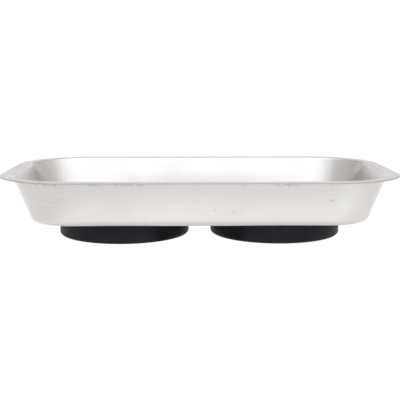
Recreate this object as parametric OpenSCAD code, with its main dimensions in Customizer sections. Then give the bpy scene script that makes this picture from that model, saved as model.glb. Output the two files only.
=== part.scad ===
// Magnetic parts tray: a drawn stainless-steel pan on two magnetic feet.
// Each foot is a ferrite ring magnet in a pressed steel cup, inside a moulded
// rubber boot, and a blind rivet through the pan's floor holds the cup.
// Millimetres, +Z up, origin under the middle of the tray on the surface it stands on.

/* [Pan] */
// Length of the pan over its flange
pan_length = 240; // [225:1:300]
// Width of the pan over its flange
pan_width = 145; // [130:1:200]
// Depth from the top of the rim to the underside of the floor
pan_depth = 28; // [20:0.5:40]
// Thickness of the steel sheet
sheet_t = 0.7; // [0.5:0.1:1.2]
// Plan radius of the flange's outer corners
rim_corner_r = 44; // [36:1:60]
// Width of the flat part of the flange
flange_flat = 6.5; // [3:0.5:12]
// Angle of the walls from vertical, in degrees
wall_angle = 22; // [8:1:30]
// Inside radius of the bend from the flange to the wall
rim_bend_r = 1.2; // [0.6:0.1:3]
// Outside radius of the bend from the wall to the floor
floor_bend_r = 5; // [2:0.5:8]

/* [Magnets] */
// Outside diameter of the ring magnets
magnet_d = 72; // [60:1:78]
// Diameter of the hole in the ring magnets
magnet_hole_d = 32; // [18:1:40]
// Thickness of the ring magnets
magnet_t = 10; // [8:0.5:14]
// Chamfer on the magnets' edges, which the bend of the cups clears
magnet_chamfer = 0.8; // [0.4:0.1:1.5]
// Clear distance between the two feet
foot_gap = 14; // [4:0.5:24]

/* [Magnet cups] */
// Thickness of the cups' steel
cup_t = 1.5; // [1:0.1:2.5]
// Depth of the cups' inside, down the magnet's edge
cup_skirt = 3.5; // [2:0.5:7]

/* [Rubber boots] */
// Thickness of the boots' wall around the cups
boot_wall = 3.4; // [2.5:0.1:6]
// Thickness of the boots' floor under the magnets
boot_floor = 1.75; // [1.2:0.05:4]
// Radius of the boots' lower outer edge
boot_edge_r = 2; // [0.5:0.1:3]
// Thickness of the lip's edge, where the boots hook over the cups' shoulder
boot_lip_t = 0.45; // [0.3:0.05:0.8]
// Diameter of the dished middle of the boots' underside
dish_d = 58; // [30:1:68]
// Depth of that dish
dish_depth = 0.4; // [0.2:0.1:0.8]

/* [Rivets] */
// Diameter of the rivets' shank
rivet_d = 4.8; // [4:0.1:6.4]
// Diameter of the rivets' domed head
rivet_head_d = 9.5; // [8:0.5:14]
// Height of the rivets' domed head
rivet_head_h = 1.6; // [1.2:0.1:2.2]
// Height of the upright edge around the head
rivet_head_edge = 0.3; // [0.1:0.05:0.6]
// Distance that the set rivets bulge beyond their shank, inside the cups
rivet_bulge = 1.2; // [0.6:0.1:1.8]
// Length of that bulge
rivet_bulge_h = 4.2; // [3.8:0.1:5]
// Diameter of the rivets' mandrel
mandrel_d = 2.8; // [2:0.1:3.2]
// Diameter of the mandrel's head, under the bulge
mandrel_head_d = 4.4; // [3.8:0.1:4.8]
// Height of the mandrel's head
mandrel_head_h = 1.8; // [1:0.1:2]
// Depth of the mandrel's broken end below the top of the rivet's head
mandrel_recess = 0.6; // [0.3:0.1:1]

/* [Fits] */
// Clearance of the boots around the cups
boot_clearance = 0.1; // [0.05:0.05:0.4]
// Radial clearance of the magnets in the cups and boots
magnet_clearance = 0.15; // [0.05:0.05:0.4]
// Radial clearance of the rivets in their holes
rivet_clearance = 0.1; // [0.05:0.05:0.3]
// Radial clearance of the mandrels in the rivets
mandrel_clearance = 0.05; // [0.02:0.01:0.1]

/* [Hidden] */
$fn = 96;

LEFT = -1;
RIGHT = 1;
// Straight steps in each arc of a section
arc_steps = 10;

// Heights, from the ground up
magnet_z = boot_floor;
cup_z = magnet_z + magnet_t;
floor_z = cup_z + cup_t;
floor_top_z = floor_z + sheet_t;
rim_z = floor_z + pan_depth;
skirt_z = cup_z - cup_skirt;
bulge_end_z = cup_z - rivet_bulge_h;

// Radii of a foot, from the rivet outwards
mandrel_r = mandrel_d / 2;
rivet_bore_r = mandrel_r + mandrel_clearance;
rivet_r = rivet_d / 2;
rivet_hole_r = rivet_r + rivet_clearance;
magnet_r = magnet_d / 2;
magnet_bore_r = magnet_r + magnet_clearance;
cup_r = magnet_bore_r + cup_t;
boot_bore_r = cup_r + boot_clearance;
boot_r = boot_bore_r + boot_wall;
foot_x = boot_r + foot_gap / 2;

// Bend of the cups' section: its centre, inside radius and outside radius
cup_bend = [magnet_bore_r - magnet_chamfer, cup_z - magnet_chamfer];
cup_bend_r = magnet_chamfer;
cup_shoulder_r = cup_bend_r + cup_t;

// Centres of the two bends in the pan's section, and where its wall meets them.
// The section is drawn through a corner, and x is the distance from the corner's upright axis.
rim_bend = [rim_corner_r - flange_flat, rim_z - sheet_t - rim_bend_r];
wall_top = rim_bend + rim_bend_r * [-cos(wall_angle), sin(wall_angle)];
wall_foot_z = floor_z + floor_bend_r * (1 - sin(wall_angle));
wall_run = (wall_top.y - wall_foot_z) * tan(wall_angle);
floor_bend = [wall_top.x - wall_run - floor_bend_r * cos(wall_angle), floor_z + floor_bend_r];

// Straight stretches of the pan between its corners
straight_x = pan_length - 2 * rim_corner_r;
straight_y = pan_width - 2 * rim_corner_r;

// Points on an arc, both ends included
function arc(centre, r, from, to) =
    [for (i = [0:arc_steps]) let (a = from + (to - from) * i / arc_steps) centre + r * [cos(a), sin(a)]];

// Radius of the arc that stands a given height above a chord of a given half length
function bow_radius(half_chord, height) = (half_chord ^ 2 + height ^ 2) / (2 * height);

// Section of the pan's sheet, from a corner's axis out to the edge of the flange
module pan_section() {
    wall_from_floor = 360 - wall_angle;
    wall_from_rim = 180 - wall_angle;
    polygon(concat(
        [[0, floor_top_z]],
        arc(floor_bend, floor_bend_r - sheet_t, 270, wall_from_floor),
        arc(rim_bend, rim_bend_r + sheet_t, wall_from_rim, 90),
        [[rim_corner_r, rim_z], [rim_corner_r, rim_z - sheet_t]],
        arc(rim_bend, rim_bend_r, 90, wall_from_rim),
        arc(floor_bend, floor_bend_r, wall_from_floor, 270),
        [[0, floor_z]]));
}

// A straight wall of the pan that faces +Y, with its flange and a strip of floor
module pan_side(length, corner_axis) {
    translate([-length / 2, corner_axis, 0])
        rotate([90, 0, 90])
            linear_extrude(length) pan_section();
}

// The pan's walls and corners: two of each, and the same again turned half around
module pan_outline() {
    for (turn = [0, 180]) rotate(turn) {
        pan_side(straight_x, straight_y / 2);
        rotate(90) pan_side(straight_y, straight_x / 2);
        translate([straight_x / 2, straight_y / 2, 0])
            rotate_extrude(angle = 90) pan_section();
        translate([-straight_x / 2, straight_y / 2, 0])
            rotate(90) rotate_extrude(angle = 90) pan_section();
    }
}

module at_foot(side) {
    translate([side * foot_x, 0, 0]) children();
}

// The pan: flange, sloping walls and floor of one sheet, with a hole over each foot
module tray_pan() {
    color("gainsboro") difference() {
        union() {
            pan_outline();
            translate([-straight_x / 2, -straight_y / 2, floor_z])
                cube([straight_x, straight_y, sheet_t]);
        }
        for (side = [LEFT, RIGHT]) at_foot(side)
            translate([0, 0, cup_z])
                cylinder(r = rivet_hole_r, h = pan_depth);
    }
}

// The boot is open at the top and stepped around the magnet and the cup.
// Its lip hooks over the cup's rounded shoulder, and the pan's floor closes it.
module rubber_boot() {
    hollow_r = cup_shoulder_r + boot_clearance;
    lip_angle = asin((cup_shoulder_r - boot_lip_t) / hollow_r);
    lip_r = cup_bend.x + hollow_r * cos(lip_angle);
    step_z = skirt_z - boot_clearance;
    dish_r = dish_d / 2;
    color("#26262a") rotate_extrude() polygon(concat(
        [[0, magnet_z], [magnet_bore_r, magnet_z], [magnet_bore_r, step_z], [boot_bore_r, step_z]],
        arc(cup_bend, hollow_r, 0, lip_angle),
        [[lip_r, floor_z], [boot_r, floor_z]],
        arc([boot_r - boot_edge_r, boot_edge_r], boot_edge_r, 360, 270),
        [[dish_r, 0], [dish_r - dish_depth, dish_depth], [0, dish_depth]]));
}

// The cup is a shallow pressing, open downwards, with a hole for the rivet
module magnet_cup() {
    color("silver") rotate_extrude() polygon(concat(
        [[rivet_hole_r, cup_z]],
        arc(cup_bend, cup_bend_r, 90, 0),
        [[magnet_bore_r, skirt_z], [cup_r, skirt_z]],
        arc(cup_bend, cup_shoulder_r, 0, 90),
        [[rivet_hole_r, floor_z]]));
}

module ring_magnet() {
    hole_r = magnet_hole_d / 2;
    c = magnet_chamfer;
    color("dimgray") translate([0, 0, magnet_z]) rotate_extrude() polygon([
        [hole_r + c, 0], [magnet_r - c, 0], [magnet_r, c],
        [magnet_r, magnet_t - c], [magnet_r - c, magnet_t], [hole_r + c, magnet_t],
        [hole_r, magnet_t - c], [hole_r, c]]);
}

// The set rivet: a domed head in the pan, a shank through pan and cup, a bulge below
module rivet_body() {
    head_r = rivet_head_d / 2;
    dome_h = rivet_head_h - rivet_head_edge;
    dome_r = bow_radius(head_r, dome_h);
    dome = [0, floor_top_z + rivet_head_h - dome_r];
    bulge_r = bow_radius(rivet_bulge_h / 2, rivet_bulge);
    bulge = [rivet_r + rivet_bulge - bulge_r, (cup_z + bulge_end_z) / 2];
    bulge_angle = asin(rivet_bulge_h / 2 / bulge_r);
    color("lightgray") rotate_extrude() polygon(concat(
        [[rivet_r, floor_top_z], [head_r, floor_top_z]],
        arc(dome, dome_r, acos(head_r / dome_r), acos(rivet_bore_r / dome_r)),
        [[rivet_bore_r, bulge_end_z]],
        arc(bulge, bulge_r, -bulge_angle, bulge_angle)));
}

// The mandrel that stays in the rivet: broken off in the head, with its own head under the bulge
module rivet_mandrel() {
    top_z = floor_top_z + rivet_head_h - mandrel_recess;
    head_r = mandrel_head_d / 2;
    dome_r = bow_radius(head_r, mandrel_head_h);
    dome = [0, bulge_end_z - mandrel_head_h + dome_r];
    edge_angle = asin((bulge_end_z - dome.y) / dome_r);
    color("darkgray") rotate_extrude() polygon(concat(
        [[0, top_z], [mandrel_r, top_z], [mandrel_r, bulge_end_z]],
        arc(dome, dome_r, edge_angle, -90)));
}

tray_pan();
at_foot(LEFT) rubber_boot();  // left_rubber_boot
at_foot(RIGHT) rubber_boot();  // right_rubber_boot
at_foot(LEFT) magnet_cup();  // left_magnet_cup
at_foot(RIGHT) magnet_cup();  // right_magnet_cup
at_foot(LEFT) ring_magnet();  // left_ring_magnet
at_foot(RIGHT) ring_magnet();  // right_ring_magnet
at_foot(LEFT) rivet_body();  // left_rivet_body
at_foot(RIGHT) rivet_body();  // right_rivet_body
at_foot(LEFT) rivet_mandrel();  // left_rivet_mandrel
at_foot(RIGHT) rivet_mandrel();  // right_rivet_mandrel
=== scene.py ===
import math
import random

import bmesh
import bpy
from mathutils import Matrix, Vector


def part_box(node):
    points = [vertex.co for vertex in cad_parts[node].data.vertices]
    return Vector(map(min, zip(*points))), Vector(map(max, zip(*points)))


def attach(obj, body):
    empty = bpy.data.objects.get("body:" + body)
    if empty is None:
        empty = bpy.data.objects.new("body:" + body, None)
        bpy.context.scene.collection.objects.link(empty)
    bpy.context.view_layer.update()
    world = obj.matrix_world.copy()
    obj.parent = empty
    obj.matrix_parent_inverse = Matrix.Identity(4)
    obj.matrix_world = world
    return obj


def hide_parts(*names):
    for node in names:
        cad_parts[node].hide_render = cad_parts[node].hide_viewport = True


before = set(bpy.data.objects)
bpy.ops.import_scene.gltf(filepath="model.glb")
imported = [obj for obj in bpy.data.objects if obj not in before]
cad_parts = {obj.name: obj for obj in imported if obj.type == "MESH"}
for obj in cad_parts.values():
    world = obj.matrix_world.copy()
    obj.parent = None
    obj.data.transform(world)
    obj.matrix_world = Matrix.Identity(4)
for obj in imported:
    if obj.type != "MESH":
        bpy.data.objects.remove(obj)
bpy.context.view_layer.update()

MM = 0.001

# Sizes of the pan, as in the solids
SHEET = 0.7 * MM
RIM_CORNER_R = 44 * MM
FLANGE_FLAT = 6.5 * MM
WALL_ANGLE = math.radians(22)
RIM_BEND_R = 1.2 * MM
FLOOR_BEND_R = 5 * MM
RIVET_HOLE_R = 2.5 * MM

# Sizes of the boots, as in the solids, and the small rounds of their mouth
BOOT_EDGE_R = 2 * MM
BOOT_LIP_T = 0.45 * MM
BOOT_LIP_REACH = 0.8 * MM
BOOT_CLEARANCE = 0.1 * MM
BOOT_MOUTH_R = 0.3 * MM
DISH_R = 29 * MM
DISH_DEPTH = 0.4 * MM

# Sizes of the rivets, as in the solids, and the rounds that show on them
RIVET_R = 2.4 * MM
RIVET_BORE_R = 1.45 * MM
RIVET_HEAD_H = 1.6 * MM
RIVET_HEAD_EDGE = 0.3 * MM
RIVET_EDGE_ROUND = 0.12 * MM
RIVET_BULGE = 1.2 * MM

# Sizes of the mandrels, as in the solids, and the waves of their broken ends
MANDREL_R = 1.4 * MM
MANDREL_HEAD_H = 1.8 * MM
BREAK_DEPTH = 0.12 * MM
BREAK_WAVES = (2, 3, 4)  # how many of each go around
BREAK_TWIST = 4  # radians, from the middle to the rim
BREAK_RIM_POWER = 4  # how sharply the waves end at the rim
BREAK_SEED = 11

# Places that come from the frame
pan_low, pan_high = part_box("tray_pan")
boot_low, boot_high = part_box("right_rubber_boot")
cup_low, cup_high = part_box("right_magnet_cup")
magnet_low, magnet_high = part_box("right_ring_magnet")
rivet_low, rivet_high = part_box("right_rivet_body")
mandrel_low, mandrel_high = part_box("right_rivet_mandrel")
FLOOR_Z = pan_low.z
RIM_Z = pan_high.z
STRAIGHT_X = pan_high.x - RIM_CORNER_R
STRAIGHT_Y = pan_high.y - RIM_CORNER_R
FOOT_X = (boot_low.x + boot_high.x) / 2
BOOT_R = boot_high.y
FOOT_SIDES = {"left": -1, "right": 1}

# What the press leaves on the pan: a rounded cut edge, and walls that are slightly hollow and wavy
CUT_EDGE_ROUND = 0.12 * MM
WALL_BOW = -0.3 * MM
WALL_WAVE = 0.03 * MM

# The waves of the walls: how many go around the pan, their share of the height, and their phase
WALL_WAVES = [(9, 1.0, 1), (17, 0.7, 2), (29, 0.5, 0)]

# Scuffs under the front rim, in millimetres: place around from the front wall's left end, and half length
FRONT_SCUFFS = [(-19.6, 1.8), (-12.4, 2.2), (-5, 4.5), (15.7, 4.5), (33, 8), (42.8, 2.6), (100, 2),
                (125, 8), (149, 1.8), (154, 1.4)]

# Scuffs drawn at random under the rest of the rim: the stretch that they lie on, and spans in millimetres
DRAWN_SCUFF_SEED = 7
DRAWN_SCUFF_START = 175 * MM
DRAWN_SCUFF_STOP_SHORT = 30 * MM
DRAWN_SCUFF_HALF_LENGTH = (1.5, 6)
DRAWN_SCUFF_STEP = (8, 34)
DRAWN_SCUFF_STRENGTH = (0.4, 1)

# How far below the rim's top all scuffs lie, their height, and how many half lengths they reach
SCUFF_DROP = 2.05 * MM
SCUFF_HALF_HEIGHT = 0.85 * MM
SCUFF_REACH = 3

# Small dents in the outer wall: their place and form in millimetres, and how dark they are painted, partly
# painted shade and partly dirt
WALL_DENTS = [
    {"around": 151.1, "height": 29.6, "half_length": 1.2, "half_height": 0.6, "depth": 0.12, "dark": 0.8},
    {"around": 149.3, "height": 30.3, "half_length": 1.0, "half_height": 0.5, "depth": 0.08, "dark": 0.4},
    {"around": 148.4, "height": 28, "half_length": 0.8, "half_height": 0.6, "depth": 0.06, "dark": 0.25},
    {"around": 84.1, "height": 23.5, "half_length": 0.8, "half_height": 0.9, "depth": 0.1, "dark": 0.55},
    {"around": 94.8, "height": 22.6, "half_length": 1.4, "half_height": 0.7, "depth": 0.1, "dark": 0.55},
    {"around": 98.6, "height": 22.7, "half_length": 0.9, "half_height": 0.7, "depth": 0.08, "dark": 0.35},
]

# The bend into the floor, darkened with painted shade: how far up the outside it reaches
BEND_SHADE_HEIGHT = 2.3 * MM

# The inside of the long walls, darkened low down with painted shade: its length, heights of full and no
# shade
INSIDE_SHADE_HALF_LENGTH = 60 * MM
INSIDE_SHADE_END_POWER = 6  # how sharply the shaded patch ends
INSIDE_SHADE_HEIGHTS = (25 * MM, 33 * MM)

# The pan's materials, in their order on its mesh
SHEET_MATERIAL = 0
EDGE_MATERIAL = 1

# Layers of the pan's mesh that its material reads
BRUSH_UV = "brushing"
SCUFF = "scuff"
PAINTED_SHADE_AND_DENT_DIRT = "painted_shade_and_dent_dirt"
INSIDE_SHADE = "inside_shade"

# How many times finer the streaks of the lengthwise brushing are than those around the outer wall
LENGTHWISE_FINENESS = 2.5

# How finely the meshes are cut: the floor's grid, steps along each stretch of a profile, segments around
FLOOR_GRID = 1 * MM
HOLE_PATCH = 8 * MM
HOLE_HOOPS = 5
CORNER_COLUMNS = 44
PAN_STEPS = {"floor": 6, "foot": 10, "inside": 24, "rim": 10, "flange": 5, "edge": 3, "under_rim": 8,
             "outside": 40}
BOOT_STEPS = {"dish": 4, "face": 4, "edge": 12, "side": 8, "mouth": 5, "around": 160}
RIVET_STEPS = {"dome": 20, "bulge": 12, "around": 72}
MANDREL_STEPS = {"break": 8, "dome": 10, "around": 48}
STAGE_STEPS = {"bend": 12, "around": 96}
MERGE_DISTANCE = 0.001 * MM

# The photograph's camera: a fit of the tray's outline to the picture
PHOTO_PX = 400
FOCAL_PX = 825.8
CAMERA_DISTANCE = 0.5313
CAMERA_ELEVATION = math.radians(8.9)
CAMERA_AZIMUTH = math.radians(-0.93)
CAMERA_AIM = Vector((0.3 * MM, 0, 20.5 * MM))
SENSOR_WIDTH = 36  # millimetres, as Blender takes it

# The stage: a white table top that glows, and whose edge turns up all round, far from the tray
STAGE_R = 2.4
STAGE_RINGS = (0, 0.1, 0.3, 0.6)  # shares of the radius
STAGE_BEND_R = 0.25
STAGE_TOP = 0.86
STAGE_ALBEDO = 0.03
STAGE_ROUGHNESS = 0.8
STAGE_SPECULAR = 0.1
STAGE_GLOW = 1.0

# A brighter strip on the stage that follows the front of the tray, with spans over which it fades
STRIP_GLOW = 0.42
STRIP_TINT = (0.9, 1.01, 1.07)
STRIP_CENTRE = (0.015, 0, 0)
STRIP_LENGTH = (0.06, 0.145)
STRIP_OFFSET = 0.0465
STRIP_WIDTH = (0.003, 0.012)
STRIP_BACK = (-0.055, -0.02)

# A pool of the strip's light at its right end, and a brighter panel of the stage's edge behind the tray
POOL_CENTRE = (0.122, -0.06, 0)
POOL_REACH = (0.06, 0.06, 0.06)
POOL_SHARE = 0.24
PANEL_CENTRE = (0, 2.65, 0.5)
PANEL_REACH = (0.9, 0.9, 0.75)
PANEL_GLOW = 0.2
SPOT_CORE = 1 / 3

# The dimmer sides of the stage: how far out they start, and how their borders spread and fade
SIDE_GLOW = 0.8
SIDE_START = (0.6, 1.0)
SIDE_SPREAD = 0.26
SIDE_FADE = (0.14, 0.34)

# The studio's light: grey surroundings, brighter in front, with a broad soft light there and one above
WORLD_GREY = 0.86
WORLD_LEAN = (0.08, -0.25, 0)
SOFT_LIGHT = 1.73
SOFT_LIGHT_TINT = (0.955, 1.0, 1.035)
SOFT_LIGHT_AZIMUTH = math.radians(15)
SOFT_LIGHT_ELEVATION = math.radians(40)
SOFT_LIGHT_CORE = math.radians(14)
SOFT_LIGHT_EDGE = math.radians(72)
TOP_LIGHT = {"place": (0, 0.1, 1.6), "aim": (0, 0, 0), "size": (1.6, 1.2), "power": 6}

# Spans in which most values of a noise lie
NOISE_SPAN = (0.3, 0.7)
STREAK_SPAN = (0.35, 0.65)

# Brushed stainless, its noises: the streaks repeat so often in a metre across and along the brushing
FINE_STREAKS = {"across": 5200, "along": 70, "roughness": 0.6}
BROAD_STREAKS = {"across": 900, "along": 12, "roughness": 0.55}
SCUFF_BLOTS = {"across": 1000, "along": 480, "roughness": 0.65}
STREAK_DETAIL = 3.0
BROAD_SHARE = 0.5
SHEET_HAZE = {"scale": 30.0, "detail": 3.0, "roughness": 0.55}

# Brushed stainless, its tints and how they mix
SHEET_DARK = (0.603, 0.58, 0.56, 1)
SHEET_LIGHT = (0.647, 0.622, 0.603, 1)
SHEET_HAZED = (0.565, 0.54, 0.52, 1)
# painted shade at the bend into the floor; in the dents it is partly painted shade and partly dirt
SHEET_SHADE_AND_DIRT = (0.41, 0.415, 0.435, 1)
# painted shade low on the inside of the long walls
SHEET_INSIDE_SHADE = (0.525, 0.515, 0.505, 1)
SHEET_SCUFFED = (0.3, 0.29, 0.29, 1)
HAZE_TINT = {"span": (0.4, 0.75), "result": (0, 0.4)}
INSIDE_SHADE_PATCHES = {"span": (0.35, 0.6), "result": (0.6, 1)}
SCUFF_PATCHES = {"span": (0.46, 0.6), "result": (0, 1)}
SCUFF_TINT = 0.75

# Brushed stainless, its gloss and bumps
SHEET_ROUGHNESS = (0.22, 0.27)
HAZE_ROUGHNESS = (-0.02, 0.04)
SCUFF_ROUGHNESS = 0.2
SHEET_ANISOTROPY = 0.72
FINE_BUMP = {"strength": 0.1, "distance": 0.04 * MM}
BROAD_BUMP = {"strength": 0.03, "distance": 0.12 * MM}
SCUFF_BUMP = {"strength": 0.3, "distance": 0.06 * MM}

# Moulded rubber: its noises, painted shade that leaves each foot darker on its inner side and paler
# outwards, faint bloomed clouds, and its gloss
RUBBER_GRAIN = {"scale": 2600.0, "detail": 3.0, "roughness": 0.6}
RUBBER_CLOUDS = {"scale": 70.0, "detail": 4.0, "roughness": 0.6}
RUBBER_DARK = (0.002, 0.002, 0.003, 1)
RUBBER_PALE = (0.017, 0.017, 0.022, 1)
# painted shade: the inner side of each foot, where the feet face each other, is left darker
INNER_SIDE_SHADE = {"span": (-0.65 * BOOT_R, -0.4 * BOOT_R), "result": (0, 0.7)}
BLOOM_CLOUDS = {"span": (0.35, 0.7), "result": (0, 0.3)}
RUBBER_ROUGHNESS = (0.42, 0.54)
GRAIN_ROUGHNESS = (-0.05, 0.05)
RUBBER_SPECULAR = 0.08
RUBBER_BUMP = {"strength": 0.25, "distance": 0.08 * MM}

# Small steel, the sheet's cut edge and ferrite: their noises and bumps
STEEL_MOTTLE = {"scale": 260.0, "detail": 4.0, "roughness": 0.6}
STEEL_GRAIN = {"scale": 3000.0, "detail": 2.0, "roughness": 0.6}
SHEAR_MARKS = {"scale": 900.0, "detail": 3.0, "roughness": 0.7}
FERRITE_SPECKLE = {"scale": 1800.0, "detail": 4.0, "roughness": 0.7}
STEEL_BUMP = {"strength": 0.15, "distance": 0.05 * MM}
COARSE_BUMP = {"strength": 0.3, "distance": 0.1 * MM}

# The same, each one's tints and span of roughness
RIVET_STEEL = {"dark": (0.58, 0.58, 0.57, 1), "light": (0.68, 0.68, 0.67, 1), "roughness": (0.2, 0.32)}
MANDREL_STEEL = {"dark": (0.3, 0.3, 0.29, 1), "light": (0.45, 0.45, 0.44, 1), "roughness": (0.4, 0.55)}
ZINC_PLATE = {"dark": (0.5, 0.5, 0.48, 1), "light": (0.66, 0.66, 0.65, 1), "roughness": (0.3, 0.45)}
CUT_EDGE = {"dark": (0.37, 0.365, 0.36, 1), "light": (0.53, 0.525, 0.52, 1), "roughness": (0.38, 0.55)}
FERRITE = {"dark": (0.04, 0.04, 0.043, 1), "light": (0.1, 0.1, 0.105, 1), "roughness": (0.5, 0.65)}

# Numbers of the Mix node's sockets: the factor and the two things to mix, and the result
MIX_NUMBER_INPUTS = (0, 2, 3)
MIX_NUMBER_OUTPUT = 0
MIX_COLOUR_INPUTS = (0, 6, 7)
MIX_COLOUR_OUTPUT = 2


# Shader nodes

def add_node(tree, kind, inputs=None, **properties):
    """Adds a node. An input is a value for its socket, or an output socket to link to it."""
    made = tree.nodes.new("ShaderNode" + kind)
    for name, value in properties.items():
        setattr(made, name, value)
    for name, value in (inputs or {}).items():
        if isinstance(value, bpy.types.NodeSocket):
            tree.links.new(value, made.inputs[name])
        else:
            made.inputs[name].default_value = value
    return made


def math_node(tree, operation, first, second=0):
    return add_node(tree, "Math", {0: first, 1: second}, operation=operation).outputs[0]


def add(tree, first, second):
    return math_node(tree, "ADD", first, second)


def multiply(tree, first, second):
    return math_node(tree, "MULTIPLY", first, second)


def vector_node(tree, operation, first, second=(0, 0, 0)):
    """The result of vector maths: a number for a length or a dot product, and a vector otherwise."""
    made = add_node(tree, "VectorMath", {0: first, 1: second}, operation=operation)
    return made.outputs["Value" if operation in ("LENGTH", "DOT_PRODUCT") else "Vector"]


def map_range(tree, value, span, result, curve="LINEAR"):
    """Takes a value from one span to another, and holds it at the ends."""
    (low, high), (to_low, to_high) = span, result
    inputs = {"Value": value, "From Min": low, "From Max": high, "To Min": to_low, "To Max": to_high}
    return add_node(tree, "MapRange", inputs, interpolation_type=curve).outputs["Result"]


def rise(tree, value, span):
    """A smooth step from none to one over a span."""
    return map_range(tree, value, span, (0, 1), "SMOOTHSTEP")


def fall(tree, value, span):
    """A smooth step from one to none over a span."""
    return map_range(tree, value, span, (1, 0), "SMOOTHSTEP")


def noise(tree, vector, scale, detail, roughness):
    inputs = {"Vector": vector, "Scale": scale, "Detail": detail, "Roughness": roughness}
    return add_node(tree, "TexNoise", inputs).outputs["Fac"]


def mix_number(tree, factor, first, second):
    inputs = dict(zip(MIX_NUMBER_INPUTS, (factor, first, second)))
    return add_node(tree, "Mix", inputs, data_type="FLOAT").outputs[MIX_NUMBER_OUTPUT]


def mix_colour(tree, factor, first, second):
    inputs = dict(zip(MIX_COLOUR_INPUTS, (factor, first, second)))
    return add_node(tree, "Mix", inputs, data_type="RGBA").outputs[MIX_COLOUR_OUTPUT]


def bump(tree, height, strength, distance, below=None):
    """The normal of a bumpy surface, on top of another bump if one is given."""
    inputs = {"Height": height, "Strength": strength, "Distance": distance}
    if below:
        inputs["Normal"] = below
    return add_node(tree, "Bump", inputs).outputs[0]


def object_place(tree):
    return add_node(tree, "TexCoord").outputs["Object"]


def parts_of(tree, vector):
    return add_node(tree, "SeparateXYZ", {0: vector}).outputs


def mesh_layer(tree, name):
    return add_node(tree, "Attribute", attribute_name=name).outputs["Fac"]


def grey(value):
    return (value, value, value, 1)


def new_material(name):
    """A material with only an output node, and its node tree to fill."""
    material = bpy.data.materials.new(name)
    material.use_nodes = True
    tree = material.node_tree
    tree.nodes.clear()
    add_node(tree, "OutputMaterial")
    return material, tree


def set_surface(tree, inputs):
    """Joins a principled shader with these inputs to the material's output."""
    shader = add_node(tree, "BsdfPrincipled", inputs)
    output = next(n for n in tree.nodes if n.type == "OUTPUT_MATERIAL")
    tree.links.new(shader.outputs[0], output.inputs["Surface"])


# Materials

def streaks(tree, across, along, roughness):
    """Noise in the brushing's coordinates, drawn out along the brushing."""
    place = add_node(tree, "UVMap", uv_map=BRUSH_UV).outputs["UV"]
    stretched = vector_node(tree, "MULTIPLY", place, (across, along, 0))
    return noise(tree, stretched, scale=1.0, detail=STREAK_DETAIL, roughness=roughness)


def sheet_tint(tree, streak, haze, scuff):
    """The sheet's colour: streaky and hazy, darker where it is scuffed, with dirt and painted shade in the
    dents, and painted shade at the bend into the floor and low on the inside of the long walls.
    """
    # painted shade low on the inside of the long walls, in patches
    inside_shade = multiply(tree, mesh_layer(tree, INSIDE_SHADE), map_range(tree, haze, **INSIDE_SHADE_PATCHES))
    tint = mix_colour(tree, map_range(tree, streak, STREAK_SPAN, (0, 1)), SHEET_DARK, SHEET_LIGHT)
    tint = mix_colour(tree, map_range(tree, haze, **HAZE_TINT), tint, SHEET_HAZED)
    tint = mix_colour(tree, mesh_layer(tree, PAINTED_SHADE_AND_DENT_DIRT), tint, SHEET_SHADE_AND_DIRT)
    tint = mix_colour(tree, inside_shade, tint, SHEET_INSIDE_SHADE)
    return mix_colour(tree, multiply(tree, scuff, SCUFF_TINT), tint, SHEET_SCUFFED)


def brushed_stainless():
    """Satin stainless sheet with streaks along the brushing, haze, scuffs, dirt in dents and patches of
    painted shade.
    """
    material, tree = new_material("brushed_stainless")
    fine = streaks(tree, **FINE_STREAKS)
    broad = streaks(tree, **BROAD_STREAKS)
    streak = mix_number(tree, BROAD_SHARE, fine, broad)
    haze = noise(tree, object_place(tree), **SHEET_HAZE)
    blots = map_range(tree, streaks(tree, **SCUFF_BLOTS), **SCUFF_PATCHES)
    scuff = multiply(tree, mesh_layer(tree, SCUFF), blots)
    rough = map_range(tree, streak, STREAK_SPAN, SHEET_ROUGHNESS)
    rough = add(tree, rough, map_range(tree, haze, NOISE_SPAN, HAZE_ROUGHNESS))
    rough = add(tree, rough, multiply(tree, scuff, SCUFF_ROUGHNESS))
    normal = bump(tree, fine, **FINE_BUMP)
    normal = bump(tree, broad, **BROAD_BUMP, below=normal)
    normal = bump(tree, scuff, **SCUFF_BUMP, below=normal)
    tangent = add_node(tree, "Tangent", direction_type="UV_MAP", uv_map=BRUSH_UV).outputs[0]
    set_surface(tree, {"Base Color": sheet_tint(tree, streak, haze, scuff), "Roughness": rough,
                       "Normal": normal, "Tangent": tangent,
                       "Metallic": 1.0, "Anisotropic": SHEET_ANISOTROPY})
    return material


def moulded_rubber():
    """Matte black rubber with a fine grain, faint bloomed clouds, and painted shade where the feet face
    each other.
    """
    material, tree = new_material("moulded_rubber")
    place = object_place(tree)
    grain = noise(tree, place, **RUBBER_GRAIN)
    clouds = noise(tree, place, **RUBBER_CLOUDS)
    from_middle = math_node(tree, "ABSOLUTE", parts_of(tree, place)["X"])
    outward = math_node(tree, "SUBTRACT", from_middle, FOOT_X)
    # painted shade darkens the sides where the feet face each other; the clouds below are bloom
    bloom_and_shade = map_range(tree, outward, **INNER_SIDE_SHADE, curve="SMOOTHSTEP")
    bloom_and_shade = add(tree, bloom_and_shade, map_range(tree, clouds, **BLOOM_CLOUDS))
    rough = map_range(tree, clouds, NOISE_SPAN, RUBBER_ROUGHNESS)
    rough = add(tree, rough, map_range(tree, grain, NOISE_SPAN, GRAIN_ROUGHNESS))
    set_surface(tree, {"Base Color": mix_colour(tree, bloom_and_shade, RUBBER_DARK, RUBBER_PALE), "Roughness": rough,
                       "Normal": bump(tree, grain, **RUBBER_BUMP), "Specular IOR Level": RUBBER_SPECULAR})
    return material


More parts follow.
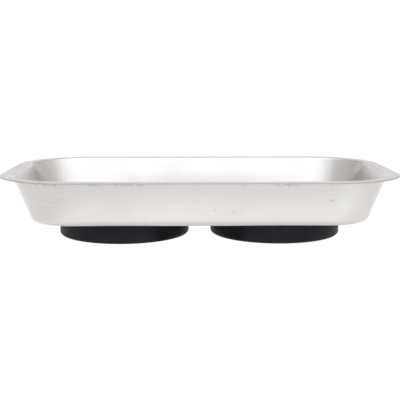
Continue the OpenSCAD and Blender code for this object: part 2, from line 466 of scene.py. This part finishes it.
def mottled(name, look, mottle, grain, relief, metallic):
    """A surface whose tint and gloss follow one noise and whose bumps follow another."""
    material, tree = new_material(name)
    place = object_place(tree)
    patches = noise(tree, place, **mottle)
    set_surface(tree, {"Base Color": mix_colour(tree, patches, look["dark"], look["light"]),
                       "Roughness": map_range(tree, patches, NOISE_SPAN, look["roughness"]),
                       "Normal": bump(tree, noise(tree, place, **grain), **relief),
                       "Metallic": metallic})
    return material


def small_steel(name, look):
    """Bare or plated small steel: mottled tint, fine grain and uneven gloss."""
    return mottled(name, look, STEEL_MOTTLE, STEEL_GRAIN, STEEL_BUMP, metallic=1.0)


def sheared_edge():
    """The cut edge of the sheet: rougher and darker than its faces, with the marks of the shear."""
    return mottled("sheared_edge", CUT_EDGE, SHEAR_MARKS, SHEAR_MARKS, COARSE_BUMP, metallic=1.0)


def sintered_ferrite():
    """Dark grey ceramic magnet: fine speckle and a dull ground surface."""
    return mottled("sintered_ferrite", FERRITE, FERRITE_SPECKLE, FERRITE_SPECKLE, COARSE_BUMP, metallic=0.0)


def soft_spot(tree, centre, reach):
    """A share that is one around a centre and falls to none at its reach along each axis."""
    away = vector_node(tree, "SUBTRACT", object_place(tree), centre)
    away = vector_node(tree, "DIVIDE", away, reach)
    return fall(tree, vector_node(tree, "LENGTH", away), (SPOT_CORE, 1))


def from_strip_centre(tree):
    """The place on the stage, seen from the middle of the strip."""
    return vector_node(tree, "SUBTRACT", object_place(tree), STRIP_CENTRE)


def strip_share(tree):
    """How bright the strip is: a band at one distance from the tray's outline, and only before the tray."""
    place = from_strip_centre(tree)
    parts = parts_of(tree, place)
    outside = vector_node(tree, "ABSOLUTE", place)
    outside = vector_node(tree, "SUBTRACT", outside, (STRAIGHT_X, STRAIGHT_Y, 0))
    outside = vector_node(tree, "MAXIMUM", outside, (0, 0, 0))
    distance = vector_node(tree, "LENGTH", outside)
    off_line = math_node(tree, "ABSOLUTE", math_node(tree, "SUBTRACT", distance, STRIP_OFFSET))
    beside = math_node(tree, "ABSOLUTE", parts["X"])
    strip = multiply(tree, fall(tree, off_line, STRIP_WIDTH), fall(tree, beside, STRIP_LENGTH))
    return multiply(tree, strip, fall(tree, parts["Y"], STRIP_BACK))


def side_share(tree):
    """How far a place lies in the dim sides, which leave a lane that widens to the front and the back."""
    parts = parts_of(tree, from_strip_centre(tree))
    border = multiply(tree, math_node(tree, "ABSOLUTE", parts["Y"]), SIDE_SPREAD)
    beside = math_node(tree, "SUBTRACT", math_node(tree, "ABSOLUTE", parts["X"]), border)
    far = vector_node(tree, "LENGTH", object_place(tree))
    return multiply(tree, rise(tree, beside, SIDE_FADE), rise(tree, far, SIDE_START))


def pale_table():
    """White glowing table top that shows no shadow: brightest before the tray, dimmest far to its sides."""
    material, tree = new_material("pale_table")
    pool = multiply(tree, soft_spot(tree, POOL_CENTRE, POOL_REACH), POOL_SHARE)
    strip_and_pool = add(tree, strip_share(tree), pool)
    panel = soft_spot(tree, PANEL_CENTRE, PANEL_REACH)
    brightest = [STAGE_GLOW + STRIP_GLOW * tint for tint in STRIP_TINT]
    glow = mix_colour(tree, strip_and_pool, grey(STAGE_GLOW), (*brightest, 1))
    glow = mix_colour(tree, panel, glow, grey(STAGE_GLOW + PANEL_GLOW))
    glow = mix_colour(tree, side_share(tree), glow, grey(SIDE_GLOW))
    set_surface(tree, {"Base Color": grey(STAGE_ALBEDO), "Roughness": STAGE_ROUGHNESS,
                       "Specular IOR Level": STAGE_SPECULAR,
                       "Emission Color": glow, "Emission Strength": 1.0})
    return material


# Meshes

def arc(centre, radius, start, end, steps):
    """Points on an arc in degrees, both ends included."""
    angles = [math.radians(start + (end - start) * i / steps) for i in range(steps + 1)]
    return [(centre[0] + radius * math.cos(a), centre[1] + radius * math.sin(a)) for a in angles]


def line(start, end, steps):
    """Points from start to end, both left out."""
    shares = [i / steps for i in range(1, steps)]
    return [(start[0] + (end[0] - start[0]) * t, start[1] + (end[1] - start[1]) * t) for t in shares]


def even(low, high, step):
    """Evenly spaced numbers about a step apart, both ends included."""
    count = max(1, round((high - low) / step))
    return [low + (high - low) * i / count for i in range(count + 1)]


def distances(points):
    """Distance from the first point to each point along the line through them."""
    made = [0.0]
    for a, b in zip(points, points[1:]):
        made.append(made[-1] + math.dist(a, b))
    return made


def bow_radius(half_chord, height):
    """Radius of the arc that stands a given height above a chord of a given half length."""
    return (half_chord ** 2 + height ** 2) / (2 * height)


def hump(offset, half_width):
    """A bell curve that is one in the middle."""
    return math.exp(-(offset / half_width) ** 2)


def smooth_fall(value, low, high):
    """A smooth step from one at the low value to none at the high one."""
    share = min(1, max(0, (high - value) / (high - low)))
    return share * share * (3 - 2 * share)


def join_hoops(hoops, add_face):
    """Faces between each closed hoop of points and the next."""
    for outer, inner in zip(hoops, hoops[1:]):
        for k in range(len(outer)):
            n = (k + 1) % len(outer)
            add_face((outer[k], outer[n], inner[n], inner[k]))


def finish_mesh(bm, name):
    """Turns a bmesh into a smooth mesh, with points that coincide merged and faces turned outwards."""
    bmesh.ops.remove_doubles(bm, verts=bm.verts, dist=MERGE_DISTANCE)
    bmesh.ops.recalc_face_normals(bm, faces=bm.faces)
    mesh = bpy.data.meshes.new(name)
    bm.to_mesh(mesh)
    bm.free()
    mesh.shade_smooth()
    return mesh


def lathe(name, profile, centre_x, segments, lift=None):
    """A mesh turned about an upright axis. A profile that starts off the axis is closed on itself.

    lift, if given, raises a point by its radius, height and angle."""
    bm = bmesh.new()
    angles = [2 * math.pi * i / segments for i in range(segments)]
    hoops = []
    for r, z in profile:
        heights = [z + lift(r, z, a) if lift else z for a in angles]
        points = [(centre_x + r * math.cos(a), r * math.sin(a), h) for a, h in zip(angles, heights)]
        hoops.append([bm.verts.new(point) for point in points])
    if profile[0][0] > 0:
        hoops.append(hoops[0])
    join_hoops(hoops, bm.faces.new)
    return finish_mesh(bm, name)


def add_object(mesh, materials):
    """Puts a mesh with its materials into the scene."""
    made = bpy.data.objects.new(mesh.name, mesh)
    bpy.context.scene.collection.objects.link(made)
    for material in materials:
        mesh.materials.append(material)
    return made


def add_piece(mesh, materials, node):
    """Makes a mesh the piece that stands for a CAD node."""
    piece = add_object(mesh, materials)
    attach(piece, "root")
    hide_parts(node)


# The pan: walls and flange swept around, and a floor with the rivets' holes

def pan_section():
    """The sheet's section through a corner, from the corner's axis over the top and back underneath.

    Each point is its distance from the axis, its height and the name of its stretch."""
    angle = math.degrees(WALL_ANGLE)
    rim_bend = (RIM_CORNER_R - FLANGE_FLAT, RIM_Z - SHEET - RIM_BEND_R)
    wall_top_r = rim_bend[0] - RIM_BEND_R * math.cos(WALL_ANGLE)
    wall_top_z = rim_bend[1] + RIM_BEND_R * math.sin(WALL_ANGLE)
    wall_foot_z = FLOOR_Z + FLOOR_BEND_R * (1 - math.sin(WALL_ANGLE))
    wall_run = (wall_top_z - wall_foot_z) * math.tan(WALL_ANGLE)
    floor_bend = (wall_top_r - wall_run - FLOOR_BEND_R * math.cos(WALL_ANGLE), FLOOR_Z + FLOOR_BEND_R)
    edge_r = RIM_CORNER_R - CUT_EDGE_ROUND

    steps = PAN_STEPS
    inside_foot = arc(floor_bend, FLOOR_BEND_R - SHEET, 270, 360 - angle, steps["foot"])
    rim = arc(rim_bend, RIM_BEND_R + SHEET, 180 - angle, 90, steps["rim"])
    edge = arc((edge_r, RIM_Z - CUT_EDGE_ROUND), CUT_EDGE_ROUND, 90, 0, steps["edge"])
    edge += arc((edge_r, RIM_Z - SHEET + CUT_EDGE_ROUND), CUT_EDGE_ROUND, 0, -90, steps["edge"])
    under_rim = arc(rim_bend, RIM_BEND_R, 90, 180 - angle, steps["under_rim"])
    outside_foot = arc(floor_bend, FLOOR_BEND_R, 360 - angle, 270, steps["foot"])
    top_axis, under_axis = (0, FLOOR_Z + SHEET), (0, FLOOR_Z)
    stretches = [
        ("floor", [top_axis] + line(top_axis, inside_foot[0], steps["floor"])),
        ("inside", inside_foot + line(inside_foot[-1], rim[0], steps["inside"]) + rim),
        ("flange", line(rim[-1], edge[0], steps["flange"])),
        ("edge", edge),
        ("flange", line(edge[-1], under_rim[0], steps["flange"])),
        ("outside", under_rim + line(under_rim[-1], outside_foot[0], steps["outside"]) + outside_foot),
        ("floor", line(outside_foot[-1], under_axis, steps["floor"]) + [under_axis]),
    ]

    def bowed(r, z):
        """Bows the wall along a parabola that is deepest half-way up."""
        share = min(1, max(0, (z - wall_foot_z) / (wall_top_z - wall_foot_z)))
        return r + WALL_BOW * 4 * share * (1 - share)

    return [(bowed(r, z), z, name) for name, points in stretches for r, z in points]


def floor_lines(half_length, hole_places):
    """Grid lines across the floor, with lines on both sides of each hole's square patch."""
    patch_sides = [place + side for place in hole_places for side in (-HOLE_PATCH, HOLE_PATCH)]
    stops = [-half_length, *patch_sides, half_length]
    lines = [-half_length]
    for low, high in zip(stops, stops[1:]):
        lines += even(low, high, FLOOR_GRID)[1:]
    return lines


def pan_columns(x_lines, y_lines):
    """Where the section stands around the pan: the axis that it is drawn from, and its way outwards."""
    sides = [((0, -1), [(x, -STRAIGHT_Y) for x in x_lines]),
             ((1, 0), [(STRAIGHT_X, y) for y in y_lines]),
             ((0, 1), [(x, STRAIGHT_Y) for x in reversed(x_lines)]),
             ((-1, 0), [(-STRAIGHT_X, y) for y in reversed(y_lines)])]
    columns = []
    for (nx, ny), axes in sides:
        columns += [(axis, (nx, ny)) for axis in axes]
        for step in range(1, CORNER_COLUMNS):
            turn = math.pi / 2 * step / CORNER_COLUMNS
            out = (nx * math.cos(turn) - ny * math.sin(turn), nx * math.sin(turn) + ny * math.cos(turn))
            columns.append((axes[-1], out))
    return columns


def from_axis(column, reach):
    """The place that lies so far outwards from a column's axis."""
    axis, out = column
    return (axis[0] + out[0] * reach, axis[1] + out[1] * reach)


def lengthwise(x, y):
    """Brushing coordinates of a place on the flat sheet, which was brushed lengthwise before the press."""
    return (LENGTHWISE_FINENESS * y, x)


def rim_scuffs(length):
    """All scuffs under the rim as place around, half length and strength: the front's, then drawn ones."""
    draw = random.Random(DRAWN_SCUFF_SEED)
    made = [(place * MM % length, half * MM, 1.0) for place, half in FRONT_SCUFFS]
    place = DRAWN_SCUFF_START
    while place < length - DRAWN_SCUFF_STOP_SHORT:
        half = draw.uniform(*DRAWN_SCUFF_HALF_LENGTH) * MM
        made.append((place, half, draw.uniform(*DRAWN_SCUFF_STRENGTH)))
        place += draw.uniform(*DRAWN_SCUFF_STEP) * MM
    return made


def scuff_strength(place, length, scuffs):
    """How scuffed the rim is at a place around the pan, from none to one."""
    total = 0
    for middle, half, strength in scuffs:
        offset = min(abs(place - middle), length - abs(place - middle))
        if offset < SCUFF_REACH * half:
            total += strength * hump(offset, half)
    return min(1, total)


def wall_wave(place, length):
    """How far the sheet stands out of true at a place around the pan."""
    turn = 2 * math.pi * place / length
    return WALL_WAVE * sum(share * math.sin(count * turn + phase) for count, share, phase in WALL_WAVES)


def dented(reach, place, z):
    """How far out the outer wall is where dents press it in, and how dark they are painted, with painted
    shade and dirt.
    """
    dark = 0
    for dent in WALL_DENTS:
        share = hump(place - dent["around"] * MM, dent["half_length"] * MM)
        share *= hump(z - dent["height"] * MM, dent["half_height"] * MM)
        reach -= dent["depth"] * MM * share
        dark = max(dark, dent["dark"] * share)
    return reach, dark


def add_ring(bm, marks, section, column, place, length, scuffed):
    """Adds the points of the section at one place around the pan, with the marks and painted shade that
    they bear.
    """
    axis, out = column
    wave = wall_wave(place, length)
    inside_shading = math.exp(-(axis[0] / INSIDE_SHADE_HALF_LENGTH) ** INSIDE_SHADE_END_POWER) * abs(out[1])
    ring = []
    for r, z, name in section:
        reach, dark = r, 0
        if name != "floor":
            reach += wave * ((z - FLOOR_Z) / (RIM_Z - FLOOR_Z))
        if name == "outside":
            # the dents' darkness is partly painted shade and partly dirt
            reach, dark = dented(reach, place, z)
        vert = bm.verts.new((*from_axis(column, reach), z))
        if name == "outside":
            # painted shade low on the bend into the floor, and in the dents, where it is partly painted
            # shade and partly dirt
            bend_shade = max(0, 1 - (z - FLOOR_Z) / BEND_SHADE_HEIGHT) ** 2
            vert[marks[PAINTED_SHADE_AND_DENT_DIRT]] = max(bend_shade, dark)
            vert[marks[SCUFF]] = scuffed * hump(z - RIM_Z + SCUFF_DROP, SCUFF_HALF_HEIGHT)
        if name == "inside":
            # painted shade low on the middle of the long walls' inside
            vert[marks[INSIDE_SHADE]] = inside_shading * smooth_fall(z, *INSIDE_SHADE_HEIGHTS)
        ring.append(vert)
    return ring


def sweep_walls(bm, columns, marks, uv_layer):
    """The walls, flange and the strip of floor along them. Only the outside is brushed around."""
    section = pan_section()
    wall_line = [from_axis(column, RIM_CORNER_R - FLANGE_FLAT) for column in columns]
    around = distances(wall_line + wall_line[:1])
    across = distances([(r, z) for r, z, name in section])
    length = around[-1]
    scuffs = rim_scuffs(length)
    rings = []
    for column, place in zip(columns, around):
        scuffed = scuff_strength(place, length, scuffs)
        rings.append(add_ring(bm, marks, section, column, place, length, scuffed))

    stretches = [name for r, z, name in section]
    top_rows = stretches.index("edge")
    for i, ring in enumerate(rings):
        other = rings[(i + 1) % len(rings)]
        for j, names in enumerate(zip(stretches, stretches[1:])):
            face = bm.faces.new((ring[j], other[j], other[j + 1], ring[j + 1]))
            face.material_index = EDGE_MATERIAL if names == ("edge", "edge") else SHEET_MATERIAL
            corners = ((j, i), (j, i + 1), (j + 1, i + 1), (j + 1, i))
            for loop, (row, column) in zip(face.loops, corners):
                if j < top_rows:
                    loop[uv_layer].uv = lengthwise(*from_axis(columns[column % len(columns)], across[row]))
                elif "floor" in names:
                    loop[uv_layer].uv = lengthwise(*loop.vert.co.xy)
                else:
                    loop[uv_layer].uv = (across[row], around[column])


def hole_hoops(bm, centre_x, z):
    """Hoops of points that turn a square patch of the floor into the round edge of a rivet's hole."""
    stops = even(-HOLE_PATCH, HOLE_PATCH, FLOOR_GRID)[:-1]
    square = [(s, -HOLE_PATCH) for s in stops] + [(HOLE_PATCH, s) for s in stops]
    square += [(-x, -y) for x, y in square]
    hoops = []
    for share in even(0, 1, 1 / HOLE_HOOPS):
        scales = [1 - share + share * RIVET_HOLE_R / math.hypot(x, y) for x, y in square]
        points = [(centre_x + x * s, y * s, z) for (x, y), s in zip(square, scales)]
        hoops.append([bm.verts.new(point) for point in points])
    return hoops


def fill_floor(bm, x_lines, y_lines, uv_layer):
    """Both faces of the floor between the walls' axes, with a round hole in each patch over a foot."""

    def add_face(verts):
        face = bm.faces.new(verts)
        for loop in face.loops:
            loop[uv_layer].uv = lengthwise(*loop.vert.co.xy)

    def in_patch(x, y):
        return abs(abs(x) - FOOT_X) < HOLE_PATCH and abs(y) < HOLE_PATCH

    hole_edges = {side: [] for side in FOOT_SIDES}
    for z in (FLOOR_Z + SHEET, FLOOR_Z):
        for x0, x1 in zip(x_lines, x_lines[1:]):
            for y0, y1 in zip(y_lines, y_lines[1:]):
                if not in_patch((x0 + x1) / 2, (y0 + y1) / 2):
                    corners = ((x0, y0), (x1, y0), (x1, y1), (x0, y1))
                    add_face([bm.verts.new((x, y, z)) for x, y in corners])
        for side, sign in FOOT_SIDES.items():
            hoops = hole_hoops(bm, sign * FOOT_X, z)
            join_hoops(hoops, add_face)
            hole_edges[side].append(hoops[-1])
    for edges in hole_edges.values():
        join_hoops(edges, add_face)


def build_pan():
    """The pressed pan: its sheet, with the marks and painted shade on it, and its cut edge."""
    bm = bmesh.new()
    marks = {name: bm.verts.layers.float.new(name) for name in (SCUFF, PAINTED_SHADE_AND_DENT_DIRT, INSIDE_SHADE)}
    uv_layer = bm.loops.layers.uv.new(BRUSH_UV)
    x_lines = floor_lines(STRAIGHT_X, (-FOOT_X, FOOT_X))
    y_lines = floor_lines(STRAIGHT_Y, (0,))
    sweep_walls(bm, pan_columns(x_lines, y_lines), marks, uv_layer)
    fill_floor(bm, x_lines, y_lines, uv_layer)
    add_piece(finish_mesh(bm, "pan"), [brushed_stainless(), sheared_edge()], "tray_pan")


# The feet

def build_boot(side, rubber):
    """The rubber boot: dished underside, rounded edges, stepped bore and lip."""
    cup_r, magnet_r = cup_high.y, magnet_high.y
    bore_r = cup_r + BOOT_CLEARANCE
    lip_r = cup_r - BOOT_LIP_REACH
    side_foot, side_top = (BOOT_R, BOOT_EDGE_R), (BOOT_R, FLOOR_Z - BOOT_MOUTH_R)
    mouth_round = (BOOT_R - BOOT_MOUTH_R, FLOOR_Z - BOOT_MOUTH_R)
    steps = BOOT_STEPS
    profile = [(0, DISH_DEPTH), (DISH_R / 2, DISH_DEPTH)]
    profile += arc((DISH_R - DISH_DEPTH, 0), DISH_DEPTH, 90, 0, steps["dish"])
    profile += line((DISH_R, 0), (BOOT_R - BOOT_EDGE_R, 0), steps["face"])
    profile += arc((BOOT_R - BOOT_EDGE_R, BOOT_EDGE_R), BOOT_EDGE_R, 270, 360, steps["edge"])
    profile += line(side_foot, side_top, steps["side"])
    profile += arc(mouth_round, BOOT_MOUTH_R, 0, 90, steps["mouth"])
    profile += [(lip_r, FLOOR_Z), (lip_r, FLOOR_Z - BOOT_LIP_T), (bore_r, FLOOR_Z - 2 * BOOT_LIP_T)]
    profile += [(bore_r, cup_low.z), (magnet_r, cup_low.z), (magnet_r, magnet_low.z), (0, magnet_low.z)]
    mesh = lathe(f"{side}_boot", profile, FOOT_SIDES[side] * FOOT_X, steps["around"])
    add_piece(mesh, [rubber], f"{side}_rubber_boot")


def build_rivet(side, steel):
    """The set rivet: a domed head in the pan, a shank through pan and cup, and a bulge below."""
    head_r, head_z = rivet_high.y, FLOOR_Z + SHEET
    dome_r = bow_radius(head_r, RIVET_HEAD_H - RIVET_HEAD_EDGE)
    dome = (0, rivet_high.z - dome_r)
    dome_start = math.degrees(math.acos((head_r - RIVET_EDGE_ROUND) / dome_r))
    dome_end = math.degrees(math.acos((RIVET_BORE_R + RIVET_EDGE_ROUND) / dome_r))
    bulge_h = magnet_high.z - rivet_low.z
    bulge_r = bow_radius(bulge_h / 2, RIVET_BULGE)
    bulge = (RIVET_R + RIVET_BULGE - bulge_r, rivet_low.z + bulge_h / 2)
    bulge_angle = math.degrees(math.asin(bulge_h / 2 / bulge_r))
    profile = [(RIVET_R, head_z), (head_r - RIVET_EDGE_ROUND, head_z)]
    profile += [(head_r, head_z + RIVET_EDGE_ROUND), (head_r, head_z + RIVET_HEAD_EDGE - RIVET_EDGE_ROUND)]
    profile += arc(dome, dome_r, dome_start, dome_end, RIVET_STEPS["dome"])
    profile += [(RIVET_BORE_R, rivet_high.z - 2 * RIVET_EDGE_ROUND), (RIVET_BORE_R, rivet_low.z)]
    profile += arc(bulge, bulge_r, -bulge_angle, bulge_angle, RIVET_STEPS["bulge"])
    mesh = lathe(f"{side}_rivet", profile, FOOT_SIDES[side] * FOOT_X, RIVET_STEPS["around"])
    add_piece(mesh, [steel], f"{side}_rivet_body")


def build_mandrel(side, steel):
    """The mandrel that stays in the rivet: a rough broken end above, and its own head below."""
    head_r, shoulder_z = mandrel_high.y, mandrel_low.z + MANDREL_HEAD_H
    dome_r = bow_radius(head_r, MANDREL_HEAD_H)
    dome = (0, mandrel_low.z + dome_r)
    dome_edge = math.degrees(math.asin((shoulder_z - dome[1]) / dome_r))
    top_z = mandrel_high.z
    draw = random.Random(BREAK_SEED + FOOT_SIDES[side])
    phases = [draw.uniform(0, 2 * math.pi) for wave in BREAK_WAVES]

    def broken(r, z, angle):
        if z < top_z - BREAK_DEPTH:
            return 0
        share = r / MANDREL_R
        turned = [count * angle + phase + BREAK_TWIST * share for count, phase in zip(BREAK_WAVES, phases)]
        height = share * sum(math.sin(turn) for turn in turned) / len(turned) - 1
        return BREAK_DEPTH * height * (1 - share ** BREAK_RIM_POWER)

    profile = [(0, top_z)] + line((0, top_z), (MANDREL_R, top_z), MANDREL_STEPS["break"])
    profile += [(MANDREL_R, top_z - BREAK_DEPTH), (MANDREL_R, shoulder_z)]
    profile += arc(dome, dome_r, dome_edge, -90, MANDREL_STEPS["dome"])
    mesh = lathe(f"{side}_mandrel", profile, FOOT_SIDES[side] * FOOT_X, MANDREL_STEPS["around"], broken)
    add_piece(mesh, [steel], f"{side}_rivet_mandrel")


def finish_cad_nodes(part, material):
    """Gives both feet's solids of one kind their finish."""
    for side in FOOT_SIDES:
        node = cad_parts[f"{side}_{part}"]
        node.data.materials.clear()
        node.data.materials.append(material)


def build_feet():
    """Both feet. The cups and magnets keep their solids."""
    rubber = moulded_rubber()
    rivet_steel = small_steel("rivet_steel", RIVET_STEEL)
    mandrel_steel = small_steel("mandrel_steel", MANDREL_STEEL)
    for side in FOOT_SIDES:
        build_boot(side, rubber)
        build_rivet(side, rivet_steel)
        build_mandrel(side, mandrel_steel)
    finish_cad_nodes("magnet_cup", small_steel("zinc_plate", ZINC_PLATE))
    finish_cad_nodes("ring_magnet", sintered_ferrite())


# Stage, light and camera

def build_stage():
    """The table top and its upturned edge."""
    profile = [(share * STAGE_R, 0) for share in STAGE_RINGS]
    profile += arc((STAGE_R, STAGE_BEND_R), STAGE_BEND_R, 270, 360, STAGE_STEPS["bend"])
    profile += [(STAGE_R + STAGE_BEND_R, STAGE_TOP)]
    stage = add_object(lathe("stage", profile, 0, STAGE_STEPS["around"]), [pale_table()])


def area_light(name, place, aim, size, power):
    """A rectangular light at a place, which shines towards its aim."""
    data = bpy.data.lights.new(name, "AREA")
    data.shape = "RECTANGLE"
    data.size, data.size_y = size
    data.energy = power
    light = bpy.data.objects.new(name, data)
    light.location = place
    light.rotation_euler = (Vector(aim) - Vector(place)).to_track_quat("-Z", "Y").to_euler()
    bpy.context.scene.collection.objects.link(light)


def build_light():
    """Grey surroundings that grow bright towards the soft light, and a softbox overhead."""
    world = bpy.data.worlds.new("studio")
    bpy.context.scene.world = world
    world.use_nodes = True
    tree = world.node_tree
    tree.nodes.clear()
    level = math.cos(SOFT_LIGHT_ELEVATION)
    towards_light = (level * math.sin(SOFT_LIGHT_AZIMUTH), -level * math.cos(SOFT_LIGHT_AZIMUTH),
                     math.sin(SOFT_LIGHT_ELEVATION))
    direction = add_node(tree, "TexCoord").outputs["Generated"]
    nearness = vector_node(tree, "DOT_PRODUCT", direction, towards_light)
    share = rise(tree, nearness, (math.cos(SOFT_LIGHT_EDGE), math.cos(SOFT_LIGHT_CORE)))
    surroundings = add(tree, vector_node(tree, "DOT_PRODUCT", direction, WORLD_LEAN), WORLD_GREY)
    brightest = [SOFT_LIGHT * tint for tint in SOFT_LIGHT_TINT]
    glow = mix_colour(tree, share, surroundings, (*brightest, 1))
    background = add_node(tree, "Background", {"Color": glow}).outputs[0]
    add_node(tree, "OutputWorld", {"Surface": background})
    area_light("top_softbox", **TOP_LIGHT)


def build_camera():
    """The photograph's camera, turned about the tray's upright axis."""
    turn = Matrix.Rotation(CAMERA_AZIMUTH, 3, "Z")
    back = Vector((0, -math.cos(CAMERA_ELEVATION), math.sin(CAMERA_ELEVATION)))
    camera = bpy.data.objects.new("camera", bpy.data.cameras.new("camera"))
    camera.data.sensor_width = SENSOR_WIDTH
    camera.data.lens = FOCAL_PX / PHOTO_PX * SENSOR_WIDTH
    camera.location = turn @ (CAMERA_AIM + back * CAMERA_DISTANCE)
    camera.rotation_euler = (turn @ -back).to_track_quat("-Z", "Y").to_euler()
    bpy.context.scene.collection.objects.link(camera)
    bpy.context.scene.camera = camera


build_camera()
build_light()
build_stage()
build_pan()
build_feet()
bpy.context.scene.view_settings.view_transform = "Standard"
